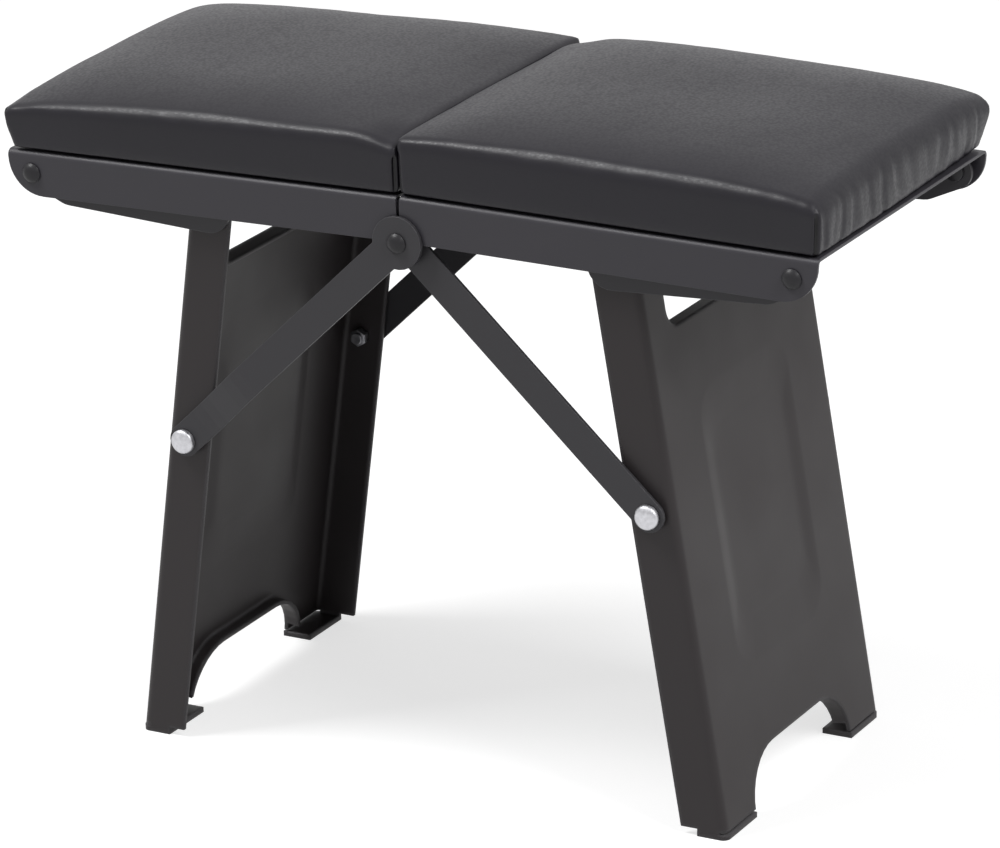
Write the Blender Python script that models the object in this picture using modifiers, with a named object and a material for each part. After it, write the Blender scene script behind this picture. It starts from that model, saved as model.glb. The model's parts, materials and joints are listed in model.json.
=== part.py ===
"""Folding stool: two padded seat halves on steel trays, two sheet-steel legs, links and struts.

The right half is modelled once. The left half is the same set of shapes turned half a turn about Z,
so each tray, leg and strut is one pressing used twice. Sizes are in millimetres, the scene in metres.
"""
import math

import bmesh
import bpy
from mathutils import Matrix, Vector

MM = 0.001

# Seat trays: an upside-down channel, its rails hanging down front and back
SEAT_HALF_LENGTH = 175.0
SEAT_SEAM = 1.2
SEAT_PEAK_DEG = 0.75
TRAY_WIDTH = 150.0
TRAY_SHEET = 1.2
TRAY_BEND = 2.5
RAIL_HEIGHT = 18.0
RAIL_END_RADIUS = 15.0
PIVOT_HEIGHT = 225.0
EAR_RADIUS = 9.0
EAR_SHEET = 1.1
EAR_TAIL = 26.0
EAR_TONGUE_REACH = 3.0
EAR_LIP_REACH = 2.0
EAR_LIP_WIDTH = 2.0
EAR_SWEEP_GAP = 0.6

# Seat boards and cushions
BOARD_THICK = 2.0
BOARD_INSET = 4.6
BOARD_CORNER = 8.0
CUSHION_SIDE = 20.5
CUSHION_END_DROOP = 2.5
CUSHION_CROWN = 9.0
CUSHION_BULGE = 2.2
CUSHION_DRAW_IN = 1.4
CUSHION_TUCK = 1.2
CUSHION_EDGE = 8.0
CUSHION_SIDE_OVERHANG = 0.8
CUSHION_END_OVERHANG = 3.2
CUSHION_SEAM_INSET = 0.6

# Legs: a channel with flanges towards the middle, cut out at the top and bottom, feet bent inwards
LEG_SHEET = 1.5
LEG_BEND = 3.0
FLANGE_WIDTH = 19.0
LEG_SPLAY_DEG = 8.6
LEG_PIVOT_ABOVE_CENTRE = 1.0
LEG_TOP_TRIM = 0.25
FOOT_INSET = 43.7
FOOT_WIDTH = 12.8
FOOT_LENGTH = 26.0
FOOT_THICK = 2.2
FOOT_RISE = 3.1
LIP_DEPTH = 5.5
NOTCH_HALF_WIDTH = 51.0
NOTCH_BELOW_PIVOT = 31.3
NOTCH_RADIUS = 8.0
NOTCH_LIP_BELOW_PIVOT = 4.0
ARCH_HALF_WIDTH = 42.5
ARCH_HEIGHT = 23.5
ARCH_RADIUS = 22.0
ARCH_LIP_HEIGHT = 6.5
EMBOSS_HALF_WIDTH = 39.0
EMBOSS_TOP = 172.0
EMBOSS_BOTTOM = 53.0
EMBOSS_DEPTH = 1.0
EMBOSS_CORNER = 16.0
EMBOSS_SIDE_SLOPE = 11.0
EMBOSS_END_SLOPE = 24.0

# Flat bars: links from the rail ends to the leg tops, struts from the centre pivot to the legs
BAR_SHEET = 1.5
LINK_TOP_GAP = 0.5
LINK_RADIUS_LEG = 10.0
LINK_BELLY_FROM_END = 14.0
LINK_BELLY_DROP = 2.9
LINK_BELLY_RADIUS = 9.0
END_PIVOT_INSET = 10.5
END_PIVOT_UP = 9.3
STRUT_HALF_WIDTH = 6.5
STRUT_EYE_RADIUS = 10.5
STRUT_BOLT_BELOW_PIVOT = 97.9
JOGGLE_FROM_BOLT = 12.0
JOGGLE_LENGTH = 33.0

# Rivets, bolts and nuts
CENTRE_PIN_RADIUS = 3.0
PIN_RADIUS = 2.5
RIVET_HEAD_RADIUS = 4.0
RIVET_HEAD_HEIGHT = 2.1
RIVET_TAIL_HEIGHT = 1.5
BOLT_HEAD_RADIUS = 4.9
BOLT_HEAD_HEIGHT = 3.0
NUT_RADIUS = 3.6
NUT_HEIGHT = 3.5
BOLT_END = 1.2
BUSH_RADIUS = 4.5

# Clearances
FACE_GAP = 0.3
PIN_GAP = 0.1
FLUSH_GAP = 0.05

# Layers from the outside in, as distances from the stool's middle plane
RAIL_OUT = TRAY_WIDTH / 2.0
RAIL_IN = RAIL_OUT - TRAY_SHEET
LAP_OUT = RAIL_IN - FACE_GAP
LAP_IN = LAP_OUT - EAR_SHEET
STRUT_OUT = LAP_IN - FACE_GAP
STRUT_IN = STRUT_OUT - BAR_SHEET
LINK_OUT = STRUT_IN - FACE_GAP
LINK_IN = LINK_OUT - BAR_SHEET
FLANGE_OUT = LINK_IN - FACE_GAP
FLANGE_IN = FLANGE_OUT - LEG_SHEET
EYE_IN = RAIL_OUT + FACE_GAP
EYE_OUT = EYE_IN + BAR_SHEET

# Places that follow from the sizes
PEAK = math.radians(SEAT_PEAK_DEG)
SPLAY = math.radians(LEG_SPLAY_DEG)
HALF_FLANGE = FLANGE_WIDTH / 2.0
END_PIVOT_X = SEAT_HALF_LENGTH - END_PIVOT_INSET
FOOT_OUTER_X = SEAT_HALF_LENGTH - FOOT_INSET
LEG_PIVOT_HEIGHT = PIVOT_HEIGHT + LEG_PIVOT_ABOVE_CENTRE
LEG_REACH = (LEG_PIVOT_HEIGHT + HALF_FLANGE * math.sin(SPLAY)) / math.cos(SPLAY)
LEG_PIVOT_X = FOOT_OUTER_X - HALF_FLANGE * math.cos(SPLAY) - LEG_REACH * math.sin(SPLAY)
BOLT_X = LEG_PIVOT_X + STRUT_BOLT_BELOW_PIVOT * math.sin(SPLAY)
BOLT_Z = LEG_PIVOT_HEIGHT - STRUT_BOLT_BELOW_PIVOT * math.cos(SPLAY)
STRUT_LENGTH = math.hypot(BOLT_X, PIVOT_HEIGHT - BOLT_Z)
END_X = END_PIVOT_X * math.cos(PEAK) + END_PIVOT_UP * math.sin(PEAK)
END_Z = PIVOT_HEIGHT + END_PIVOT_UP * math.cos(PEAK) - END_PIVOT_X * math.sin(PEAK)
LINK_LENGTH = math.hypot(END_X - LEG_PIVOT_X, END_Z - LEG_PIVOT_HEIGHT)
LINK_RADIUS_RAIL = RAIL_HEIGHT - TRAY_SHEET - END_PIVOT_UP - LINK_TOP_GAP
BOARD_BASE = RAIL_HEIGHT + FACE_GAP
CUSHION_BASE = BOARD_BASE + BOARD_THICK + FACE_GAP
HOLE_STEPS = 24
BELT_STEP_DEG = 12.0
TURN_STEPS = 20
EASE_STEPS = 6


def clear_scene():
    """Removes every object of the open scene."""
    for old in list(bpy.data.objects):
        bpy.data.objects.remove(old, do_unlink=True)


def new_collection(name):
    """Makes a collection under the scene's own."""
    made = bpy.data.collections.new(name)
    bpy.context.scene.collection.children.link(made)
    return made


def new_material(name, colour, roughness, metallic):
    """Makes a Principled material from a linear colour."""
    made = bpy.data.materials.new(name)
    made.use_nodes = True
    shader = made.node_tree.nodes["Principled BSDF"]
    shader.inputs["Base Color"].default_value = (*colour, 1.0)
    shader.inputs["Roughness"].default_value = roughness
    shader.inputs["Metallic"].default_value = metallic
    made.diffuse_color = (*colour, 1.0)
    return made


def arc(centre, radius, start_deg, end_deg, steps):
    """Gives the points of an arc, both ends included."""
    points = []
    for step in range(steps + 1):
        turn = math.radians(start_deg + (end_deg - start_deg) * step / steps)
        points.append((centre[0] + radius * math.cos(turn), centre[1] + radius * math.sin(turn)))
    return points


def eased(share):
    """Gives a rise from zero to one that starts and ends level."""
    return share * share * (3.0 - 2.0 * share)


def circle(centre, radius, turn_deg=0.0):
    """Gives a closed circle's points, the first of them turned from level with its centre."""
    return arc(centre, radius, turn_deg, 360.0 + turn_deg, HOLE_STEPS)[:-1]


def round_box(low, high, radius, corners="abcd"):
    """Gives a rectangle with the named corners rounded, from the low one round to the left."""
    steps = 8
    spots = {
        "a": ((low[0] + radius, low[1] + radius), 180.0, (low[0], low[1])),
        "b": ((high[0] - radius, low[1] + radius), 270.0, (high[0], low[1])),
        "c": ((high[0] - radius, high[1] - radius), 0.0, (high[0], high[1])),
        "d": ((low[0] + radius, high[1] - radius), 90.0, (low[0], high[1])),
    }
    points = []
    for key, (centre, start, sharp) in spots.items():
        points += arc(centre, radius, start, start + 90.0, steps) if key in corners else [sharp]
    return points


def channel(half_width, depth, sheet, bend):
    """Gives a channel's section: its web at depth, its two sides down to zero."""
    inner = bend - sheet
    left = (-half_width + bend, depth - bend)
    right = (half_width - bend, depth - bend)
    points = [(-half_width, 0.0)]
    points += arc(left, bend, 180.0, 90.0, 6)
    points += arc(right, bend, 90.0, 0.0, 6)
    points += [(half_width, 0.0), (half_width - sheet, 0.0)]
    points += arc(right, inner, 0.0, 90.0, 6)
    points += arc(left, inner, 90.0, 180.0, 6)
    points += [(-half_width + sheet, 0.0)]
    return points


def belt(circles):
    """Gives the outline of a belt pulled round circles, listed anticlockwise as (centre, radius)."""
    turns = []
    for (first, near), (second, far) in zip(circles, circles[1:] + circles[:1]):
        way = math.atan2(second[1] - first[1], second[0] - first[0])
        turns.append(math.degrees(way - math.acos((near - far) / math.dist(first, second))))
    points = []
    for number, (centre, radius) in enumerate(circles):
        start = turns[number - 1]
        sweep = (turns[number] - start) % 360.0
        points += arc(centre, radius, start, start + sweep, max(2, round(sweep / BELT_STEP_DEG)))
    return points


def eyed_bar(length, eye, half_width):
    """Gives an even bar's outline along X, from a round eye at zero to a round end at its length."""
    meet = math.degrees(math.asin(half_width / eye))
    points = arc((0.0, 0.0), eye, meet, 360.0 - meet, 22)
    points += arc((length, 0.0), half_width, -90.0, 90.0, 12)
    return points


# Rotations that carry a flat outline drawn in X and Y into one of the three upright planes
LAY = {
    "XY": Matrix.Identity(4),
    "XZ": Matrix.Rotation(math.radians(90.0), 4, "X"),
    "YZ": Matrix.Rotation(math.radians(90.0), 4, "Z") @ Matrix.Rotation(math.radians(90.0), 4, "X"),
}


def flat(outlines, plane, low, high):
    """Makes a solid from closed outlines: the first is the edge, any others are holes.

    The solid lies in the named plane and runs from low to high along the third axis.
    """
    drawn = bpy.data.curves.new("outline", "CURVE")
    drawn.dimensions = "2D"
    drawn.fill_mode = "BOTH"
    drawn.extrude = (high - low) / 2.0 * MM
    for outline in outlines:
        spline = drawn.splines.new("POLY")
        spline.points.add(len(outline) - 1)
        spline.use_cyclic_u = True
        for point, place in zip(spline.points, outline):
            point.co = (place[0] * MM, place[1] * MM, 0.0, 1.0)
    holder = bpy.data.objects.new("outline", drawn)
    bpy.context.scene.collection.objects.link(holder)
    bpy.context.view_layer.update()
    seen = holder.evaluated_get(bpy.context.evaluated_depsgraph_get())
    mesh = bpy.data.meshes.new_from_object(seen)
    bpy.data.objects.remove(holder, do_unlink=True)
    bpy.data.curves.remove(drawn)
    middle = (high + low) / 2.0 * MM
    shift = {"XY": (0.0, 0.0, middle), "XZ": (0.0, middle, 0.0), "YZ": (middle, 0.0, 0.0)}[plane]
    mesh.transform(Matrix.Translation(shift) @ LAY[plane])
    return tidy(mesh)


def tidy(mesh, merge_flat=False):
    """Welds a mesh's loose caps, turns its faces outwards and can merge faces that lie in one plane."""
    work = bmesh.new()
    work.from_mesh(mesh)
    bmesh.ops.remove_doubles(work, verts=work.verts, dist=0.00001)
    if merge_flat:
        bmesh.ops.dissolve_limit(work, angle_limit=math.radians(0.5), use_dissolve_boundaries=False,
                                 verts=work.verts, edges=work.edges)
    bmesh.ops.recalc_face_normals(work, faces=work.faces)
    work.to_mesh(mesh)
    work.free()
    return mesh


def box(low, high):
    """Makes a box between two corners."""
    work = bmesh.new()
    made = bmesh.ops.create_cube(work, size=1.0)
    size = [(b - a) * MM for a, b in zip(low, high)]
    centre = [(b + a) / 2.0 * MM for a, b in zip(low, high)]
    bmesh.ops.scale(work, verts=made["verts"], vec=size)
    bmesh.ops.translate(work, verts=made["verts"], vec=centre)
    mesh = bpy.data.meshes.new("box")
    work.to_mesh(mesh)
    work.free()
    return mesh


def rod(place, radius, low, high, turn_deg=0.0):
    """Makes a cylinder along Y at a place in X and Z."""
    return flat([circle(place, radius, turn_deg)], "XZ", low, high)


def pressing(half_width, half_height, lid):
    """Makes the tool of a pressed panel: a slab up to its lid, whose lower face sinks in easy steps."""
    outline = round_box((-half_width, -half_height), (half_width, half_height), EMBOSS_CORNER)
    mesh = tidy(flat([outline], "YZ", FLUSH_GAP, lid), merge_flat=True)
    work = bmesh.new()
    work.from_mesh(mesh)
    low = min(work.faces, key=lambda face: face.calc_center_median().x)
    width, height, sunk = half_width, half_height, 0.0
    for step in range(1, EASE_STEPS + 1):
        share = step / EASE_STEPS
        low = bmesh.ops.extrude_discrete_faces(work, faces=[low])["faces"][0]
        narrowed = half_width - EMBOSS_SIDE_SLOPE * share
        shortened = half_height - EMBOSS_END_SLOPE * share
        sink = (EMBOSS_DEPTH + FLUSH_GAP) * eased(share)
        bmesh.ops.scale(work, verts=low.verts, vec=(1.0, narrowed / width, shortened / height))
        bmesh.ops.translate(work, verts=low.verts, vec=((sunk - sink) * MM, 0.0, 0.0))
        width, height, sunk = narrowed, shortened, sink
    bmesh.ops.recalc_face_normals(work, faces=work.faces)
    work.to_mesh(mesh)
    work.free()
    return mesh


def combined(base, steps):
    """Joins and cuts a mesh by a list of (operation, mesh) steps and gives the finished mesh."""
    body = bpy.data.objects.new("body", base)
    bpy.context.scene.collection.objects.link(body)
    tools = []
    for operation, mesh in steps:
        tool = bpy.data.objects.new("cutter", mesh)
        CUTTERS.objects.link(tool)
        tool.hide_render = True
        tool.display_type = "WIRE"
        tools.append(tool)
        step = body.modifiers.new(operation.lower(), "BOOLEAN")
        step.operation = operation
        step.solver = "EXACT"
        step.object = tool
    bpy.context.view_layer.update()
    seen = body.evaluated_get(bpy.context.evaluated_depsgraph_get())
    made = bpy.data.meshes.new_from_object(seen)
    for old in [body] + tools:
        bpy.data.objects.remove(old, do_unlink=True)
    return tidy(made, merge_flat=True)


def placed(name, mesh, material, parent, location, rotation=(0.0, 0.0, 0.0), smooth_deg=30.0):
    """Makes a named part of a mesh, with its own material, under a parent."""
    mesh.materials.clear()
    mesh.materials.append(material)
    mesh.shade_smooth()
    mesh.set_sharp_from_angle(angle=math.radians(smooth_deg))
    part = bpy.data.objects.new(name, mesh)
    part.parent = parent
    part.location = Vector(location) * MM
    part.rotation_euler = rotation
    STOOL.objects.link(part)
    return part


def empty(name, parent, location, rotation=(0.0, 0.0, 0.0)):
    """Makes a parent empty at a joint."""
    made = bpy.data.objects.new(name, None)
    made.parent = parent
    made.location = Vector(location) * MM
    made.rotation_euler = rotation
    STOOL.objects.link(made)
    return made


def turned(name, profile, material, parent, location, front):
    """Makes a turned part about Y from (radius, distance from the middle plane) points.

    The profile starts on the axis at the outer end and runs inwards down its outer side.
    """
    mesh = bpy.data.meshes.new(name)
    work = bmesh.new()
    spots = [work.verts.new((radius * MM, 0.0, out * MM)) for radius, out in profile]
    for first, second in zip(spots, spots[1:]):
        work.edges.new((first, second))
    work.to_mesh(mesh)
    work.free()
    side = math.radians(90.0 if front else -90.0)
    part = placed(name, mesh, material, parent, location, (side, 0.0, 0.0))
    spin = part.modifiers.new("turn", "SCREW")
    spin.steps = TURN_STEPS
    spin.render_steps = TURN_STEPS
    spin.use_merge_vertices = True
    spin.merge_threshold = 0.00001
    spin.use_smooth_shade = True
    return part


def dome(radius, base, height):
    """Gives a low dome's profile from its crown down to its rim."""
    points = [(0.0, base + height)]
    for share in (0.45, 0.8):
        points.append((radius * share, base + height * math.sqrt(1.0 - share ** 2.2)))
    points.append((radius, base + height * 0.12))
    points.append((radius, base))
    return points


def tail(radius, pin, top):
    """Gives a flattened rivet tail's profile from the pin inwards."""
    low = top - RIVET_TAIL_HEIGHT
    return [(pin, top), (radius, top), (radius * 0.9, low + 0.4), (radius * 0.6, low), (0.0, low)]


def tray_mesh():
    """Makes a seat tray about the centre pivot, its plain ear in front and its lapped ear behind."""
    section = channel(TRAY_WIDTH / 2.0, RAIL_HEIGHT, TRAY_SHEET, TRAY_BEND)
    base = flat([section], "YZ", SEAT_SEAM / 2.0, SEAT_HALF_LENGTH)
    trim = (TRAY_SHEET - EAR_SHEET) / 2.0
    # The pivot is level with the rails' lower edge, so its circles have no point at that level
    half_step = 180.0 / HOLE_STEPS
    ear = rod((0.0, 0.0), EAR_RADIUS, -RAIL_OUT + trim, -RAIL_IN - trim, half_step)
    rise = 0.6
    reach = 90.0 + math.degrees(math.asin(EAR_TONGUE_REACH / EAR_RADIUS))
    shape = arc((0.0, 0.0), EAR_RADIUS, reach, 360.0 + math.degrees(math.asin(rise / EAR_RADIUS)), 36)
    # A tongue of the lapped ear stands behind the seam between the rails, and its lip follows their bend
    bend_low = RAIL_HEIGHT - TRAY_BEND
    curl_radius = TRAY_BEND - TRAY_SHEET - FACE_GAP - FLUSH_GAP
    tongue_top = bend_low - 2.0 * FLUSH_GAP
    shape += [(EAR_TAIL, rise), (EAR_TAIL, tongue_top), (-EAR_TONGUE_REACH, tongue_top)]
    lap = flat([shape], "XZ", LAP_IN, LAP_OUT)
    lip_top = bend_low + curl_radius
    curl = [(LAP_IN + FLUSH_GAP, tongue_top - EAR_SHEET), (LAP_OUT - FLUSH_GAP, tongue_top - EAR_SHEET)]
    curl += arc((RAIL_OUT - TRAY_BEND, bend_low), curl_radius, 0.0, 90.0, 4)
    curl += [(LAP_IN - EAR_LIP_WIDTH, lip_top), (LAP_IN - EAR_LIP_WIDTH, lip_top - EAR_SHEET)]
    curl += [(LAP_IN + FLUSH_GAP, lip_top - EAR_SHEET)]
    lip = flat([curl], "YZ", -EAR_LIP_REACH, EAR_LIP_REACH)
    sweep = EAR_RADIUS + EAR_SWEEP_GAP
    pad = box((sweep + 2.0, (LAP_IN + LAP_OUT) / 2.0, 2.0 * rise),
              (EAR_TAIL - 1.0, (RAIL_IN + RAIL_OUT) / 2.0, EAR_RADIUS - rise))
    room = rod((0.0, 0.0), sweep, RAIL_IN - FACE_GAP / 2.0, RAIL_OUT + 1.0, half_step)
    end = SEAT_HALF_LENGTH
    bend = (end - RAIL_END_RADIUS - FLUSH_GAP, RAIL_END_RADIUS + FLUSH_GAP)
    corner = arc(bend, RAIL_END_RADIUS, -90.0, 0.0, 12)
    corner += [(end + 2.0, bend[1]), (end + 2.0, -2.0), (bend[0], -2.0)]
    round_end = flat([corner], "XZ", -RAIL_OUT - 2.0, RAIL_OUT + 2.0)
    beyond = RAIL_OUT + 2.0
    centre_hole = rod((0.0, 0.0), CENTRE_PIN_RADIUS + PIN_GAP, -beyond, beyond, half_step)
    end_hole = rod((END_PIVOT_X, END_PIVOT_UP), PIN_RADIUS + PIN_GAP, -beyond, beyond)
    return combined(base, [
        ("DIFFERENCE", room), ("DIFFERENCE", round_end), ("UNION", ear), ("UNION", lap), ("UNION", lip),
        ("UNION", pad),
        ("DIFFERENCE", centre_hole), ("DIFFERENCE", end_hole)])


def board_mesh():
    """Makes the thin board under a cushion."""
    half = RAIL_OUT - BOARD_INSET
    edge = SEAT_SEAM / 2.0 + BOARD_INSET
    outline = round_box((edge, -half), (SEAT_HALF_LENGTH - BOARD_INSET, half), BOARD_CORNER)
    return flat([outline], "XY", BOARD_BASE, BOARD_BASE + BOARD_THICK)


def cushion_mesh():
    """Makes the cage of a cushion: crowned on top, bulged and drawn in at the sides, lower at its end."""
    low_x = CUSHION_SEAM_INSET
    high_x = SEAT_HALF_LENGTH + CUSHION_END_OVERHANG
    half_x = (high_x - low_x) / 2.0 - CUSHION_BULGE
    half_y = RAIL_OUT + CUSHION_SIDE_OVERHANG - CUSHION_BULGE
    work = bmesh.new()
    bmesh.ops.create_cube(work, size=2.0)
    bmesh.ops.subdivide_edges(work, edges=work.edges, cuts=5, use_grid_fill=True)

    def spread(share, edge):
        """Moves the outer grid lines close to the edge, so that the edge keeps its radius."""
        inner = 2.0 / 3.0
        if abs(share) <= inner:
            return share / inner * (1.0 - edge)
        return math.copysign(1.0 - edge * (1.0 - abs(share)) / (1.0 - inner), share)

    for vert in work.verts:
        a, b, c = vert.co
        x = spread(a, CUSHION_EDGE / half_x)
        y = spread(b, CUSHION_EDGE / half_y)
        lift = (spread(c, 0.2) + 1.0) / 2.0
        swell = CUSHION_BULGE * (1.0 - c * c) - CUSHION_TUCK * max(0.0, -c) ** 4
        out_x = swell - CUSHION_DRAW_IN * (1.0 - y * y) * lift
        out_y = swell - CUSHION_DRAW_IN * (1.0 - x * x) * lift
        side = CUSHION_SIDE - CUSHION_END_DROOP * ((x + 1.0) / 2.0) ** 3
        crown = CUSHION_CROWN * (1.0 - x ** 4) * (1.0 - y ** 4) * max(0.0, c) ** 2
        vert.co = ((low_x + high_x) / 2.0 + x * (half_x + out_x),
                   y * (half_y + out_y),
                   CUSHION_BASE + side * lift + crown)
        vert.co *= MM
    mesh = bpy.data.meshes.new("cushion")
    work.to_mesh(mesh)
    work.free()
    return mesh


def leg_mesh():
    """Makes a leg about its top pivot, standing as it does when the stool is open."""
    lean = Matrix.Rotation(-SPLAY, 4, "Y")
    top = HALF_FLANGE + 1.0
    low = -LEG_REACH - FLANGE_WIDTH
    section = [(p - HALF_FLANGE, y) for y, p in channel(FLANGE_OUT, FLANGE_WIDTH, LEG_SHEET, LEG_BEND)]
    base = flat([section], "XY", low, top)
    face = HALF_FLANGE
    back = HALF_FLANGE - LEG_SHEET
    wide = FLANGE_OUT + 10.0

    def level(height):
        """Gives the place along the leg of a height above the floor, on its outer face."""
        return (height - LEG_PIVOT_HEIGHT - HALF_FLANGE * math.sin(SPLAY)) / math.cos(SPLAY)

    # Lips round the two cut-outs, then the openings themselves
    notch_low = -NOTCH_BELOW_PIVOT
    notch_lip = flat([round_box((-NOTCH_HALF_WIDTH - LEG_SHEET, notch_low - LEG_SHEET),
                                (NOTCH_HALF_WIDTH + LEG_SHEET, -NOTCH_LIP_BELOW_PIVOT),
                                NOTCH_RADIUS + LEG_SHEET, "ab")], "YZ", back - LIP_DEPTH, face - FLUSH_GAP)
    notch = flat([round_box((-NOTCH_HALF_WIDTH, notch_low), (NOTCH_HALF_WIDTH, top + 2.0),
                            NOTCH_RADIUS, "ab")], "YZ", back - LIP_DEPTH - 2.0, face + 2.0)
    arch_top = level(ARCH_HEIGHT)
    arch_lip = flat([round_box((-ARCH_HALF_WIDTH - LEG_SHEET, low),
                               (ARCH_HALF_WIDTH + LEG_SHEET, arch_top + LEG_SHEET),
                               ARCH_RADIUS + LEG_SHEET, "cd")], "YZ", back - LIP_DEPTH, face - FLUSH_GAP)
    below = box((back - LIP_DEPTH - 2.0, -wide, low - 2.0), (face + 2.0, wide, level(ARCH_LIP_HEIGHT)))
    arch_lip = combined(arch_lip, [("DIFFERENCE", below)])
    arch = flat([round_box((-ARCH_HALF_WIDTH, low - 2.0), (ARCH_HALF_WIDTH, arch_top),
                           ARCH_RADIUS, "cd")], "YZ", back - LIP_DEPTH - 2.0, face + 2.0)

    # A shallow pressed panel: sunk on the outer face and standing out on the inner face
    high_q = level(EMBOSS_TOP)
    low_q = level(EMBOSS_BOTTOM)
    half_q = (high_q - low_q) / 2.0
    swell = pressing(EMBOSS_HALF_WIDTH, half_q, LEG_SHEET / 2.0)
    swell.transform(Matrix.Translation(Vector((back, 0.0, (high_q + low_q) / 2.0)) * MM))
    sink = pressing(EMBOSS_HALF_WIDTH, half_q, LEG_SHEET)
    sink.transform(Matrix.Translation(Vector((face, 0.0, (high_q + low_q) / 2.0)) * MM))

    # Round top of the flanges about the pivot, and the pivot and bolt holes
    turn = HALF_FLANGE - LEG_TOP_TRIM
    cap = arc((0.0, 0.0), turn, 180.0, 0.0, 24)
    cap += [(face + 3.0, 0.0), (face + 3.0, top + 3.0), (-face - 3.0, top + 3.0), (-face - 3.0, 0.0)]
    round_top = flat([cap], "XZ", -wide, wide)
    pivot = rod((0.0, 0.0), PIN_RADIUS + PIN_GAP, -wide, wide)
    bolt = rod((0.0, -STRUT_BOLT_BELOW_PIVOT), PIN_RADIUS + PIN_GAP, -wide, wide)
    leaning = [("UNION", swell), ("UNION", notch_lip), ("UNION", arch_lip), ("DIFFERENCE", sink),
               ("DIFFERENCE", notch), ("DIFFERENCE", arch), ("DIFFERENCE", round_top),
               ("DIFFERENCE", pivot), ("DIFFERENCE", bolt)]
    for _, mesh in leaning:
        mesh.transform(lean)
    base.transform(lean)

    # Level cut above the floor, and the feet bent inwards from the flanges
    floor = -LEG_PIVOT_HEIGHT
    outer = FOOT_OUTER_X - LEG_PIVOT_X
    inner = outer - FOOT_WIDTH
    level_cut = box((inner - 60.0, -wide, floor - 60.0), (outer + 60.0, wide, floor + FOOT_RISE))
    steps = leaning + [("DIFFERENCE", level_cut)]
    stem_low = floor + FOOT_THICK / 2.0
    stem_high = floor + FOOT_RISE + LEG_SHEET
    stem_end = outer - LEG_BEND
    stem = [(inner + FLUSH_GAP, stem_low), (stem_end, stem_low)]
    stem += [(stem_end - (stem_high - stem_low) * math.tan(SPLAY), stem_high), (inner + FLUSH_GAP, stem_high)]
    for side, corner in ((-1.0, "b"), (1.0, "c")):
        web = sorted((side * (FLANGE_OUT - FLUSH_GAP), side * (FLANGE_IN + FLUSH_GAP)))
        plate = sorted((side * FLANGE_OUT, side * (FLANGE_OUT - FOOT_LENGTH)))
        foot = round_box((inner, plate[0]), (outer, plate[1]), LEG_BEND, corner)
        steps.append(("UNION", flat([stem], "XZ", *web)))
        steps.append(("UNION", flat([foot], "XY", floor, floor + FOOT_THICK)))
    return combined(base, steps)


def link_mesh(front):
    """Makes a link along X from its rail end to its leg end, its lower edge bellied near the rail end."""
    belly = (LINK_BELLY_FROM_END, LINK_BELLY_DROP)
    outline = belt([((0.0, 0.0), LINK_RADIUS_RAIL), ((LINK_LENGTH, 0.0), LINK_RADIUS_LEG),
                    (belly, LINK_BELLY_RADIUS)])
    holes = [circle((0.0, 0.0), PIN_RADIUS + PIN_GAP), circle((LINK_LENGTH, 0.0), PIN_RADIUS + PIN_GAP)]
    span = (-LINK_OUT, -LINK_IN) if front else (LINK_IN, LINK_OUT)
    return flat([outline] + holes, "XZ", *span)


def strut_mesh(front, outer):
    """Makes a strut along X from its centre eye to its bolt; an outer one is set in near the bolt."""
    outline = eyed_bar(STRUT_LENGTH, STRUT_EYE_RADIUS, STRUT_HALF_WIDTH)
    holes = [circle((0.0, 0.0), CENTRE_PIN_RADIUS + PIN_GAP)]
    holes.append(circle((STRUT_LENGTH, 0.0), PIN_RADIUS + PIN_GAP))
    low, high = (EYE_IN, EYE_OUT) if outer else (STRUT_IN, STRUT_OUT)
    span = (-high, -low) if front else (low, high)
    mesh = flat([outline] + holes, "XZ", *span)
    if outer:
        end = STRUT_LENGTH - JOGGLE_FROM_BOLT
        work = bmesh.new()
        work.from_mesh(mesh)
        for station in range(EASE_STEPS + 1):
            place = end - JOGGLE_LENGTH * station / EASE_STEPS
            shape = list(work.verts) + list(work.edges) + list(work.faces)
            bmesh.ops.bisect_plane(work, geom=shape, dist=0.000001, plane_co=(place * MM, 0.0, 0.0),
                                   plane_no=(1.0, 0.0, 0.0))
        step = (EYE_OUT - STRUT_OUT) * (1.0 if front else -1.0)
        for vert in work.verts:
            past = (vert.co.x / MM - end) / JOGGLE_LENGTH + 1.0
            vert.co.y += step * MM * eased(min(1.0, max(0.0, past)))
        work.to_mesh(mesh)
        work.free()
        tidy(mesh, merge_flat=True)
    return mesh


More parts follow.
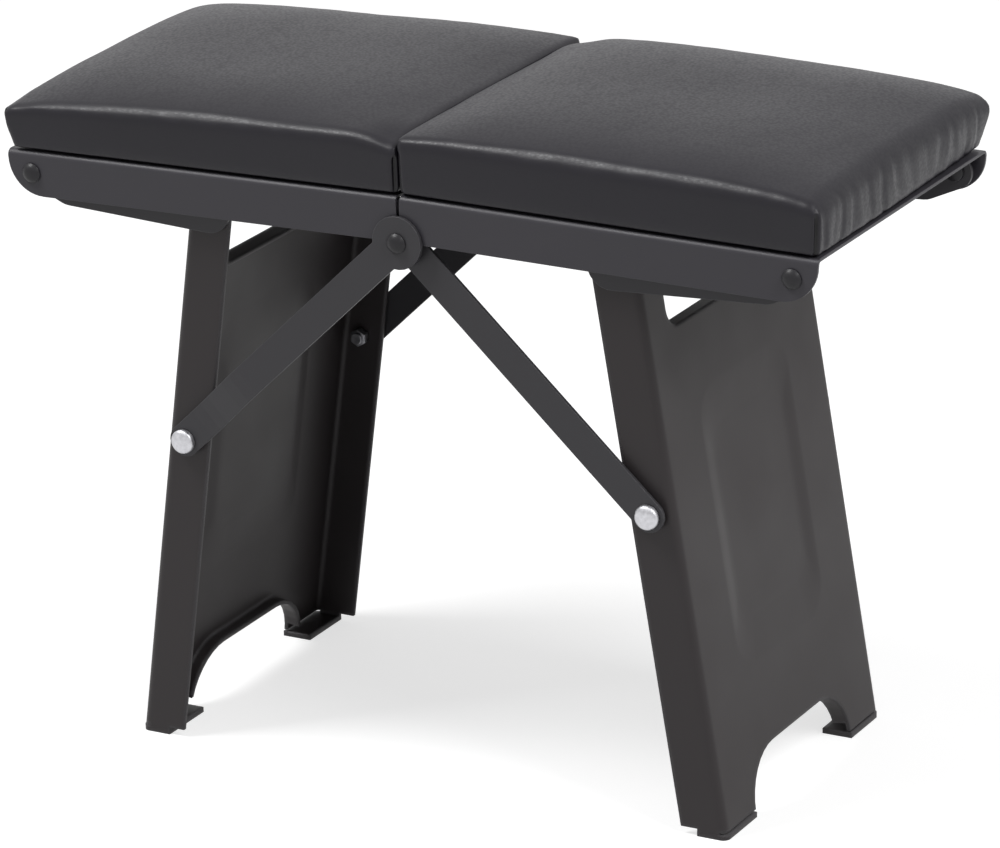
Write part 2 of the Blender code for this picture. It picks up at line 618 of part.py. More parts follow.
def rivets(label, seat, leg_root, front, black, zinc):
    """Makes one corner's end rivet, link rivet, strut bolt and its nut."""
    end = dome(RIVET_HEAD_RADIUS, RAIL_OUT + FACE_GAP, RIVET_HEAD_HEIGHT)
    end += [(PIN_RADIUS, RAIL_OUT + FACE_GAP), (PIN_RADIUS, RAIL_IN - FACE_GAP)]
    end += [(RIVET_HEAD_RADIUS, RAIL_IN - FACE_GAP), (RIVET_HEAD_RADIUS, LINK_OUT + FACE_GAP)]
    end += [(PIN_RADIUS, LINK_OUT + FACE_GAP)] + tail(RIVET_HEAD_RADIUS, PIN_RADIUS, LINK_IN - FACE_GAP)
    turned(label + "_end_rivet", end, black, seat, (END_PIVOT_X, 0.0, END_PIVOT_UP), front)
    leg_pin = [(0.0, LINK_OUT - FLUSH_GAP), (PIN_RADIUS, LINK_OUT - FLUSH_GAP)]
    leg_pin += tail(RIVET_HEAD_RADIUS, PIN_RADIUS, FLANGE_IN - FACE_GAP)
    turned(label + "_link_rivet", leg_pin, black, leg_root, (LEG_PIVOT_X, 0.0, LEG_PIVOT_HEIGHT), front)
    head = dome(BOLT_HEAD_RADIUS, STRUT_OUT + FACE_GAP, BOLT_HEAD_HEIGHT)
    head += [(PIN_RADIUS, STRUT_OUT + FACE_GAP), (PIN_RADIUS, STRUT_IN + FLUSH_GAP)]
    head += [(0.0, STRUT_IN + FLUSH_GAP)]
    turned(label + "_strut_bolt", head, zinc, leg_root, (BOLT_X, 0.0, BOLT_Z), front)
    bush = [(0.0, STRUT_IN - FACE_GAP), (BUSH_RADIUS, STRUT_IN - FACE_GAP)]
    bush += [(BUSH_RADIUS, FLANGE_OUT + FACE_GAP)]
    nut_top = FLANGE_IN - FACE_GAP
    bush += [(PIN_RADIUS, FLANGE_OUT + FACE_GAP), (PIN_RADIUS, nut_top), (NUT_RADIUS, nut_top)]
    bush += [(NUT_RADIUS, nut_top - NUT_HEIGHT + 0.6), (NUT_RADIUS - 0.6, nut_top - NUT_HEIGHT)]
    bush += [(PIN_RADIUS, nut_top - NUT_HEIGHT), (PIN_RADIUS, nut_top - NUT_HEIGHT - BOLT_END)]
    bush += [(0.0, nut_top - NUT_HEIGHT - BOLT_END)]
    turned(label + "_bolt_nut", bush, zinc, leg_root, (BOLT_X, 0.0, BOLT_Z), front)


def build():
    """Builds the two halves and the two centre rivets."""
    steel = new_material("charcoal_painted_steel", (0.052, 0.052, 0.058), 0.42, 0.35)
    leg_steel = new_material("charcoal_leg_steel", (0.058, 0.055, 0.057), 0.45, 0.3)
    bar_steel = new_material("charcoal_bar_steel", (0.05, 0.05, 0.054), 0.42, 0.35)
    black = new_material("black_rivet", (0.022, 0.022, 0.025), 0.35, 0.4)
    zinc = new_material("bright_zinc", (0.62, 0.62, 0.64), 0.3, 1.0)
    cover = new_material("black_seat_cover", (0.03, 0.029, 0.032), 0.5, 0.0)
    board = new_material("black_board", (0.012, 0.012, 0.012), 0.8, 0.0)
    tray, plank, pillow, leg = tray_mesh(), board_mesh(), cushion_mesh(), leg_mesh()
    links = {True: link_mesh(True), False: link_mesh(False)}
    struts = {True: strut_mesh(True, False), False: strut_mesh(False, True)}
    link_turn = math.atan2(END_Z - LEG_PIVOT_HEIGHT, LEG_PIVOT_X - END_X)
    strut_turn = math.atan2(PIVOT_HEIGHT - BOLT_Z, BOLT_X)
    for side, half_turn in (("right", 0.0), ("left", math.pi)):
        root = empty(side + "_half", None, (0.0, 0.0, 0.0), (0.0, 0.0, half_turn))
        seat = empty(side + "_seat_pivot", root, (0.0, 0.0, PIVOT_HEIGHT), (0.0, PEAK, 0.0))
        placed(side + "_seat_tray", tray, steel, seat, (0.0, 0.0, 0.0))
        placed(side + "_seat_board", plank, board, seat, (0.0, 0.0, 0.0))
        soft = placed(side + "_cushion", pillow, cover, seat, (0.0, 0.0, 0.0), smooth_deg=180.0)
        round_off = soft.modifiers.new("soft", "SUBSURF")
        round_off.levels = 1
        round_off.render_levels = 1
        placed(side + "_leg", leg, leg_steel, root, (LEG_PIVOT_X, 0.0, LEG_PIVOT_HEIGHT))
        for front in (True, False):
            # The half turn brings the left half's own front pieces to the back
            word = "front" if front == (side == "right") else "back"
            placed(f"{side}_{word}_link", links[front], bar_steel, root, (END_X, 0.0, END_Z),
                   (0.0, link_turn, 0.0))
            placed(f"{side}_{word}_strut", struts[front], bar_steel, root, (0.0, 0.0, PIVOT_HEIGHT),
                   (0.0, strut_turn, 0.0))
            rivets(f"{side}_{word}", seat, root, front, black, zinc)
    centre = dome(RIVET_HEAD_RADIUS, EYE_OUT + FACE_GAP, RIVET_HEAD_HEIGHT)
    centre += [(CENTRE_PIN_RADIUS, EYE_OUT + FACE_GAP)]
    centre += tail(RIVET_HEAD_RADIUS, CENTRE_PIN_RADIUS, STRUT_IN - FACE_GAP)
    for front in (True, False):
        word = "front" if front else "back"
        turned(word + "_centre_rivet", centre, black, None, (0.0, 0.0, PIVOT_HEIGHT), front)


clear_scene()
STOOL = new_collection("folding_stool")
CUTTERS = new_collection("cutters")
build()
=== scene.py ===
"""Dresses the folding stool: grained seat cushions, powder-coated sheet steel and bright fasteners.

Sizes inside the classes are in millimetres, and everything placed in the scene is in metres.
"""
import json
import logging
import math
from dataclasses import dataclass, field
from enum import Enum

import bmesh
import bpy
import numpy as np
from mathutils import Matrix, Vector, noise


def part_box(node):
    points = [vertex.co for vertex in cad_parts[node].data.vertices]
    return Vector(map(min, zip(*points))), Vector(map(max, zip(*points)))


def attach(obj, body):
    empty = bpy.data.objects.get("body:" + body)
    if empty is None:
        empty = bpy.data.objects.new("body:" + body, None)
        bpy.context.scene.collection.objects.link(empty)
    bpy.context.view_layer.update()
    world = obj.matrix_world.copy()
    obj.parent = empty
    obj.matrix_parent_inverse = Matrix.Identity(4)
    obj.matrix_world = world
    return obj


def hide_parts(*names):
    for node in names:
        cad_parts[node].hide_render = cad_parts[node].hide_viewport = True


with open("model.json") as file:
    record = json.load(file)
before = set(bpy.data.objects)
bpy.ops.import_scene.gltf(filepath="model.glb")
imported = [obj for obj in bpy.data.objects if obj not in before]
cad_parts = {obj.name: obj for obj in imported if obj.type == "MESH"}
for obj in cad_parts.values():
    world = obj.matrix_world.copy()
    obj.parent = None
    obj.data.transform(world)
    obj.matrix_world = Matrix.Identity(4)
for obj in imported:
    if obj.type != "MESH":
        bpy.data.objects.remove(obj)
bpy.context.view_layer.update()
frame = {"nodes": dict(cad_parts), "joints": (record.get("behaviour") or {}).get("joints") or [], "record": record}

MM = 0.001
# Most values of a noise texture lie in this band
NOISE_BAND = (0.3, 0.7)
log = logging.getLogger("folding_stool")


class Side(Enum):
    """A half of the stool, as the sign of its X."""

    LEFT = -1
    RIGHT = 1

    @property
    def word(self) -> str:
        """Gives the half's word in node names."""
        return self.name.lower()


class Pin(Enum):
    """The kinds of turned fastener, by the end of their node names."""

    CENTRE_RIVET = "centre_rivet"
    END_RIVET = "end_rivet"
    LINK_RIVET = "link_rivet"
    STRUT_BOLT = "strut_bolt"
    BOLT_NUT = "bolt_nut"


def linear(code: str) -> tuple[float, float, float, float]:
    """Turns an sRGB hex colour into linear light.

    Args:
        code: Six hex digits after a hash.

    Returns:
        Linear red, green, blue and an alpha of one.
    """
    parts = [int(code[place:place + 2], 16) / 255.0 for place in (1, 3, 5)]
    light = [part / 12.92 if part <= 0.04045 else ((part + 0.055) / 1.055) ** 2.4 for part in parts]
    return (light[0], light[1], light[2], 1.0)


def add_node(tree: bpy.types.NodeTree, kind: str, values: dict | None = None,
             links: dict | None = None, **settings: object) -> bpy.types.Node:
    """Adds a node with its settings, socket values and incoming links.

    Args:
        tree: The node tree.
        kind: The node's type name.
        values: Socket names or numbers and their values.
        links: Socket names or numbers and the outputs that feed them.
        settings: The node's own properties.

    Returns:
        The new node.
    """
    node = tree.nodes.new(kind)
    for key, value in settings.items():
        setattr(node, key, value)
    for key, value in (values or {}).items():
        node.inputs[key].default_value = value
    for key, source in (links or {}).items():
        tree.links.new(source, node.inputs[key])
    return node


def new_material(name: str) -> tuple[bpy.types.Material, bpy.types.NodeTree, bpy.types.Node]:
    """Makes an empty material with a Principled shader.

    Args:
        name: The finish's name.

    Returns:
        The material, its node tree and its shader.
    """
    made = bpy.data.materials.new(name)
    made.use_nodes = True
    tree = made.node_tree
    return made, tree, tree.nodes["Principled BSDF"]


@dataclass(frozen=True)
class PowderCoat:
    """Polyester powder, sprayed and baked on steel: an even satin colour with a fine orange peel."""

    name: str
    colour: str
    shade: str
    # The pale colour of the painted highlight along the edges, how strongly it shows, and the turn of the normal
    # over which it fades in
    edge_highlight: str = "#77767a"
    edge_highlight_share: float = 0.35
    edge_highlight_turn: tuple[float, float] = (0.99, 0.8)
    roughness: float = 0.42
    smoother: float = 0.05
    rougher: float = 0.06
    specular: float = 0.3
    peel_mm: float = 1.1
    peel_depth_mm: float = 0.12
    peel_share: float = 0.12
    cloud_mm: float = 45.0
    edge_mm: float = 0.5
    edge_samples: int = 6

    def material(self) -> bpy.types.Material:
        """Makes the finish: clouded colour, edges paler with a painted highlight and rounded in the normal, and
        the peel.
        """
        made, tree, shader = new_material(self.name)
        place = add_node(tree, "ShaderNodeTexCoord").outputs["Object"]
        cloud = add_node(tree, "ShaderNodeTexNoise", {"Scale": 1.0 / (self.cloud_mm * MM), "Detail": 3.0},
                         {"Vector": place})
        tint = add_node(tree, "ShaderNodeMix", {6: linear(self.shade), 7: linear(self.colour)},
                        {0: cloud.outputs["Fac"]}, data_type="RGBA")
        # A fine pale line is painted along the corners: a painted highlight of the light that edges catch
        edge = add_node(tree, "ShaderNodeBevel", {"Radius": self.edge_mm * MM}, samples=self.edge_samples)
        flat = add_node(tree, "ShaderNodeNewGeometry").outputs["Normal"]
        turn = add_node(tree, "ShaderNodeVectorMath", None, {0: edge.outputs["Normal"], 1: flat},
                        operation="DOT_PRODUCT")
        edge_highlight_mask = add_node(tree, "ShaderNodeMapRange",
                        {"From Min": self.edge_highlight_turn[0], "From Max": self.edge_highlight_turn[1],
                         "To Min": 0.0, "To Max": self.edge_highlight_share}, {"Value": turn.outputs["Value"]})
        tone = add_node(tree, "ShaderNodeMix", {7: linear(self.edge_highlight)},
                        {0: edge_highlight_mask.outputs["Result"], 6: tint.outputs[2]}, data_type="RGBA")
        tree.links.new(tone.outputs[2], shader.inputs["Base Color"])
        peel = add_node(tree, "ShaderNodeTexNoise", {"Scale": 1.0 / (self.peel_mm * MM), "Detail": 2.0},
                        {"Vector": place})
        rough = add_node(tree, "ShaderNodeMapRange",
                         {"From Min": NOISE_BAND[0], "From Max": NOISE_BAND[1],
                          "To Min": self.roughness - self.smoother, "To Max": self.roughness + self.rougher},
                         {"Value": cloud.outputs["Fac"]})
        tree.links.new(rough.outputs["Result"], shader.inputs["Roughness"])
        bump = add_node(tree, "ShaderNodeBump",
                        {"Strength": self.peel_share, "Distance": self.peel_depth_mm * MM},
                        {"Height": peel.outputs["Fac"], "Normal": edge.outputs["Normal"]})
        tree.links.new(bump.outputs["Normal"], shader.inputs["Normal"])
        shader.inputs["Specular IOR Level"].default_value = self.specular
        return made


@dataclass(frozen=True)
class GrainedVinyl:
    """Artificial leather, embossed vinyl on cloth: a soft black with small pebbles and fine creases."""

    name: str
    colour: str
    shade: str
    # The near-black of the painted shade along the corner seams
    seam: str = "#060506"
    roughness: float = 0.35
    smoother: float = 0.06
    rougher: float = 0.1
    specular: float = 0.34
    pebble_mm: float = 1.3
    pebble_depth_mm: float = 0.2
    pebble_share: float = 0.05
    pebble_reach: float = 0.8
    crease_mm: float = 9.0
    crease_depth_mm: float = 0.4
    crease_share: float = 0.18
    cloud_mm: float = 54.0

    def material(self) -> bpy.types.Material:
        """Makes the finish: pebbles from cells and creases from noise, both in the normal, and painted shade along
        the seams.
        """
        made, tree, shader = new_material(self.name)
        place = add_node(tree, "ShaderNodeTexCoord").outputs["Object"]
        crease = add_node(tree, "ShaderNodeTexNoise", {"Scale": 1.0 / (self.crease_mm * MM), "Detail": 4.0},
                          {"Vector": place})
        cells = add_node(tree, "ShaderNodeTexVoronoi", {"Scale": 1.0 / (self.pebble_mm * MM)},
                         {"Vector": place}, feature="F1")
        cloud = add_node(tree, "ShaderNodeTexNoise", {"Scale": 1.0 / (self.cloud_mm * MM), "Detail": 3.0},
                         {"Vector": place})
        tint = add_node(tree, "ShaderNodeMix", {6: linear(self.shade), 7: linear(self.colour)},
                        {0: cloud.outputs["Fac"]}, data_type="RGBA")
        # Painted shade: the colour darkens towards the seam colour where the seam mask is high
        seam = add_node(tree, "ShaderNodeAttribute", attribute_name="seam").outputs["Fac"]
        tone = add_node(tree, "ShaderNodeMix", {7: linear(self.seam)}, {0: seam, 6: tint.outputs[2]},
                        data_type="RGBA")
        tree.links.new(tone.outputs[2], shader.inputs["Base Color"])
        rough = add_node(tree, "ShaderNodeMapRange",
                         {"From Min": 0.0, "From Max": self.pebble_reach,
                          "To Min": self.roughness - self.smoother, "To Max": self.roughness + self.rougher},
                         {"Value": cells.outputs["Distance"]})
        tree.links.new(rough.outputs["Result"], shader.inputs["Roughness"])
        soft = add_node(tree, "ShaderNodeBump",
                        {"Strength": self.crease_share, "Distance": self.crease_depth_mm * MM},
                        {"Height": crease.outputs["Fac"]})
        pebble = add_node(tree, "ShaderNodeBump",
                          {"Strength": self.pebble_share, "Distance": self.pebble_depth_mm * MM},
                          {"Height": cells.outputs["Distance"], "Normal": soft.outputs["Normal"]},
                          invert=True)
        tree.links.new(pebble.outputs["Normal"], shader.inputs["Normal"])
        shader.inputs["Specular IOR Level"].default_value = self.specular
        return made


@dataclass(frozen=True)
class ZincPlate:
    """Zinc on steel: pale metal, slightly clouded by handling."""

    name: str
    colour: str
    shade: str
    roughness: float = 0.42
    smoother: float = 0.08
    rougher: float = 0.1
    cloud_mm: float = 1.6

    def material(self) -> bpy.types.Material:
        """Makes the finish: full metal with clouded tone and gloss."""
        made, tree, shader = new_material(self.name)
        place = add_node(tree, "ShaderNodeTexCoord").outputs["Object"]
        cloud = add_node(tree, "ShaderNodeTexNoise", {"Scale": 1.0 / (self.cloud_mm * MM), "Detail": 4.0},
                         {"Vector": place})
        tint = add_node(tree, "ShaderNodeMix", {6: linear(self.shade), 7: linear(self.colour)},
                        {0: cloud.outputs["Fac"]}, data_type="RGBA")
        tree.links.new(tint.outputs[2], shader.inputs["Base Color"])
        rough = add_node(tree, "ShaderNodeMapRange",
                         {"From Min": NOISE_BAND[0], "From Max": NOISE_BAND[1],
                          "To Min": self.roughness - self.smoother, "To Max": self.roughness + self.rougher},
                         {"Value": cloud.outputs["Fac"]})
        tree.links.new(rough.outputs["Result"], shader.inputs["Roughness"])
        shader.inputs["Metallic"].default_value = 1.0
        return made


@dataclass(frozen=True)
class FibreBoard:
    """Pressed fibre board dyed black: matt, with a fine fleck."""

    name: str
    colour: str
    shade: str
    fleck_mm: float = 1.5
    roughness: float = 0.85

    def material(self) -> bpy.types.Material:
        """Makes the finish: flecked colour and a rough surface."""
        made, tree, shader = new_material(self.name)
        place = add_node(tree, "ShaderNodeTexCoord").outputs["Object"]
        fleck = add_node(tree, "ShaderNodeTexNoise", {"Scale": 1.0 / (self.fleck_mm * MM), "Detail": 5.0},
                         {"Vector": place})
        tint = add_node(tree, "ShaderNodeMix", {6: linear(self.shade), 7: linear(self.colour)},
                        {0: fleck.outputs["Fac"]}, data_type="RGBA")
        tree.links.new(tint.outputs[2], shader.inputs["Base Color"])
        shader.inputs["Roughness"].default_value = self.roughness
        return made


@dataclass
class Finishes:
    """The stool's materials, each made once."""

    tray: bpy.types.Material = field(init=False)
    leg: bpy.types.Material = field(init=False)
    bar: bpy.types.Material = field(init=False)
    rivet: bpy.types.Material = field(init=False)
    zinc: bpy.types.Material = field(init=False)
    nut: bpy.types.Material = field(init=False)
    cover: bpy.types.Material = field(init=False)
    board: bpy.types.Material = field(init=False)

    def __post_init__(self) -> None:
        """Makes every finish."""
        self.tray = PowderCoat("charcoal_powder_coat_tray", "#434146", "#3b3a3f", roughness=0.36).material()
        # The legs have the same charcoal coat as the trays and bars, made darker and warmer here as painted shade
        # for their faces under the seat
        self.leg = PowderCoat("charcoal_powder_coat_leg", "#363233", "#2f2b2c", roughness=0.46,
                              edge_mm=2.5).material()
        self.bar = PowderCoat("charcoal_powder_coat_bar", "#414043", "#3a393c").material()
        self.rivet = PowderCoat("black_painted_rivet", "#29282b", "#232225", roughness=0.34).material()
        self.zinc = ZincPlate("bright_zinc_plate", "#e8e8ec", "#a9a9ad").material()
        self.nut = ZincPlate("dull_zinc_plate", "#a4a4a8", "#6c6c70").material()
        self.cover = GrainedVinyl("grained_black_vinyl", "#201e25", "#19171d").material()
        self.board = FibreBoard("black_fibre_board", "#151414", "#0f0e0e").material()

    def for_node(self, node: str) -> bpy.types.Material:
        """Picks the finish of a CAD node by the piece that its name ends with."""
        endings = {"tray": self.tray, "leg": self.leg, "link": self.bar, "strut": self.bar,
                   "board": self.board, "cushion": self.cover, "bolt": self.zinc, "nut": self.nut,
                   "rivet": self.rivet}
        return endings[node.rsplit("_", 1)[-1]]


def body_of(node: str) -> str:
    """Finds the body that carries a CAD node."""
    bodies = frame["record"]["behaviour"]["bodies"]
    return next(body for body, members in bodies.items() if node in members)


def stand_for(piece: bpy.types.Object, node: str) -> None:
    """Lets a piece take a CAD node's place and body.

    Args:
        piece: The new object.
        node: The CAD node that it stands for.
    """
    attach(piece, body_of(node))
    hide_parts(node)
    log.info("%s stands for %s", piece.name, node)


def linked(name: str, data: bpy.types.ID) -> bpy.types.Object:
    """Makes an object of a mesh, camera or lamp in the scene."""
    made = bpy.data.objects.new(name, data)
    bpy.context.scene.collection.objects.link(made)
    return made


def eased(low: float, high: float, value: np.ndarray) -> np.ndarray:
    """Gives a smooth step from zero at low to one at high."""
    share = np.clip((value - low) / (high - low), 0.0, 1.0)
    return share * share * (3.0 - 2.0 * share)


@dataclass
class SheetSteel:
    """The pieces whose shapes stay as modelled: the steel trays, legs, links and struts, and the boards."""

    finishes: Finishes
    endings: tuple[str, ...] = ("tray", "leg", "link", "strut", "board")

    def dress(self) -> None:
        """Gives each such node its finish."""
        for name, node in sorted(frame["nodes"].items()):
            if name.rsplit("_", 1)[-1] in self.endings:
                node.data.materials.clear()
                node.data.materials.append(self.finishes.for_node(name))
                log.info("%s finished in %s", name, node.data.materials[0].name)


@dataclass
class Fastener:
    """A turned rivet, bolt or nut about Y, fitted to its node's place."""

    node: str
    kind: Pin
    material: bpy.types.Material
    pin_radius: float = 2.5
    centre_pin_radius: float = 3.0
    head_radius: float = 4.0
    head_height: float = 2.1
    head_dome: float = 0.8
    bolt_head_radius: float = 4.9
    bolt_head_height: float = 3.0
    bolt_head_dome: float = 0.35
    dome_steps: int = 9
    dome_power: float = 2.6
    rim_inset: float = 0.97
    rim_falls: tuple[float, float] = (0.1, 0.3)
    tail_height: float = 1.5
    tail_insets: tuple[float, float] = (0.92, 0.6)
    tail_rises: tuple[float, float] = (0.45, 0.1)
    bush_radius: float = 4.5
    bush_height: float = 1.5
    nut_across: float = 6.6
    nut_height: float = 3.5
    nut_chamfer: float = 0.35
    bolt_end: float = 1.2
    bolt_chamfer: float = 0.3
    pin_chamfer: float = 0.2
    steps: int = 48
    sharp_deg: float = 35.0

    def head(self, radius: float, top: float, height: float, dome: float) -> list[tuple[float, float]]:
        """Gives a head's profile, with a rounded rim, from its crown to its underside.

        Args:
            radius: The head's radius.
            top: The crown's distance from the stool's middle plane.
            height: The head's height.
            dome: The share of the height that the face falls by towards the rim.

        Returns:
            Points as (radius, distance from the middle plane).
        """
        points = [(radius * step / self.dome_steps,
                   top - height * dome * (step / self.dome_steps) ** self.dome_power)
                  for step in range(self.dome_steps)]
        rim = top - height * dome
        falls = [fall * (1.0 - dome) * height for fall in self.rim_falls]
        points += [(radius * self.rim_inset, rim - falls[0]), (radius, rim - falls[1])]
        return points + [(radius, top - height)]

    def profile(self, low: float, high: float) -> list[tuple[float, float]]:
        """Gives the whole profile for the kind, from the outer end to the inner end.

        Args:
            low: The inner end's distance from the middle plane.
            high: The outer end's distance.

        Returns:
            Points as (radius, distance from the middle plane).
        """
        pin = self.centre_pin_radius if self.kind is Pin.CENTRE_RIVET else self.pin_radius
        tail_top = low + self.tail_height
        tail = [(pin, tail_top), (self.head_radius, tail_top)]
        tail += [(self.head_radius * inset, low + rise)
                 for inset, rise in zip(self.tail_insets, self.tail_rises)]
        tail += [(0.0, low)]
        if self.kind is Pin.STRUT_BOLT:
            under = high - self.bolt_head_height
            top = self.head(self.bolt_head_radius, high, self.bolt_head_height, self.bolt_head_dome)
            return top + [(pin, under), (pin, low), (0.0, low)]
        if self.kind is Pin.LINK_RIVET:
            return [(0.0, high), (pin - self.pin_chamfer, high), (pin, high - self.pin_chamfer)] + tail
        if self.kind is Pin.BOLT_NUT:
            under = high - self.bush_height
            return [(0.0, high), (self.bush_radius, high), (self.bush_radius, under), (pin, under),
                    (pin, low + self.bolt_chamfer), (pin - self.bolt_chamfer, low), (0.0, low)]
        top = self.head(self.head_radius, high, self.head_height, self.head_dome)
        return top + [(pin, high - self.head_height)] + tail

    def turned(self, low: float, high: float) -> bmesh.types.BMesh:
        """Turns the profile about Y ring by ring, so that its points come in the same order in every run.

        Args:
            low: The inner end's distance from the middle plane.
            high: The outer end's distance.

        Returns:
            The closed mesh, in metres.
        """
        work = bmesh.new()
        rings = []
        for radius, out in self.profile(low, high):
            turns = [math.tau * step / self.steps for step in range(self.steps if radius > 0.0 else 1)]
            places = [(radius * math.cos(turn), out, -radius * math.sin(turn)) for turn in turns]
            rings.append([work.verts.new(Vector(place) * MM) for place in places])
        for ring, other in zip(rings, rings[1:]):
            for step in range(self.steps):
                after = (step + 1) % self.steps
                corners = [ring[step % len(ring)], ring[after % len(ring)],
                           other[after % len(other)], other[step % len(other)]]
                work.faces.new(list(dict.fromkeys(corners)))
        return work

    def build(self) -> bpy.types.Object:
        """Turns the profile, adds a nut's hexagon and puts the piece in its node's place."""
        low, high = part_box(self.node)
        centre = (low + high) / 2.0
        sign = math.copysign(1.0, centre.y)
        near, far = sorted((abs(low.y) / MM, abs(high.y) / MM))
        work = self.turned(near, far)
        if self.kind is Pin.BOLT_NUT:
            self.add_hexagon(work, near + self.bolt_end)
        bmesh.ops.scale(work, verts=work.verts, vec=(1.0, sign, 1.0))
        bmesh.ops.translate(work, verts=work.verts, vec=(centre.x, 0.0, centre.z))
        bmesh.ops.recalc_face_normals(work, faces=work.faces)
        mesh = bpy.data.meshes.new(self.node + "_turned")
        work.to_mesh(mesh)
        work.free()
        mesh.materials.append(self.material)
        mesh.shade_smooth()
        mesh.set_sharp_from_angle(angle=math.radians(self.sharp_deg))
        piece = linked(self.node + "_turned", mesh)
        stand_for(piece, self.node)
        return piece

    def add_hexagon(self, work: bmesh.types.BMesh, low: float) -> None:
        """Adds the nut's six-sided body, its corners chamfered.

        Args:
            work: The mesh being made.
            low: The nut's inner face, as a distance from the middle plane.
        """
        corner = self.nut_across / 2.0 / math.cos(math.pi / 6.0)
        made = bmesh.ops.create_cone(work, cap_ends=True, segments=6, radius1=corner * MM,
                                     radius2=corner * MM, depth=self.nut_height * MM)["verts"]
        bmesh.ops.rotate(work, verts=made, matrix=Matrix.Rotation(math.radians(90.0), 3, "X"))
        bmesh.ops.translate(work, verts=made, vec=(0.0, (low + self.nut_height / 2.0) * MM, 0.0))
        edges = list(dict.fromkeys(edge for vert in made for edge in vert.link_edges))
        bmesh.ops.bevel(work, geom=edges, offset=self.nut_chamfer * MM, segments=2, profile=0.5,
                        affect="EDGES", material=-1)


@dataclass(frozen=True)
class Settling:
    """How a cushion has settled in use: its top's rise by corner and by edge, and an outer corner's inset."""

    inner_near: float
    inner_far: float
    outer_near: float
    outer_far: float
    end_rise: float
    far_rise: float
    near_inset: float


@dataclass(frozen=True)
class Gathers:
    """The gathers in a cushion's outer end: broad and fine ones, how they wander, and where they fade."""

    depth: float = 1.7
    spacing: float = 12.5
    sharpness: float = 0.8
    level: float = 0.8
    fine_share: float = 0.3
    fine_spacing_share: float = 0.43
    fine_shift: float = 1.0
    lean: float = 0.25
    wander: float = 5.0
    wander_length: float = 12.0
    wander_stretch: tuple[float, float, float] = (1.0, 1.0, 0.5)
    strength: float = 0.45
    strength_swing: float = 0.7
    strength_length: float = 17.0
    strength_shift: float = 40.0
    strength_stretch: tuple[float, float, float] = (1.0, 1.0, 0.3)
    facing: tuple[float, float] = (0.3, 0.75)
    fade: tuple[float, float] = (0.5, 1.1)
    foot: tuple[float, float] = (-0.05, 0.1)


SETTLED = {
    Side.LEFT: Settling(inner_near=1.2, inner_far=0.0, outer_near=1.0, outer_far=-2.4,
                        end_rise=1.8, far_rise=0.0, near_inset=0.0),
    Side.RIGHT: Settling(inner_near=0.4, inner_far=1.2, outer_near=0.8, outer_far=2.0,
                         end_rise=1.2, far_rise=1.8, near_inset=1.6),
}


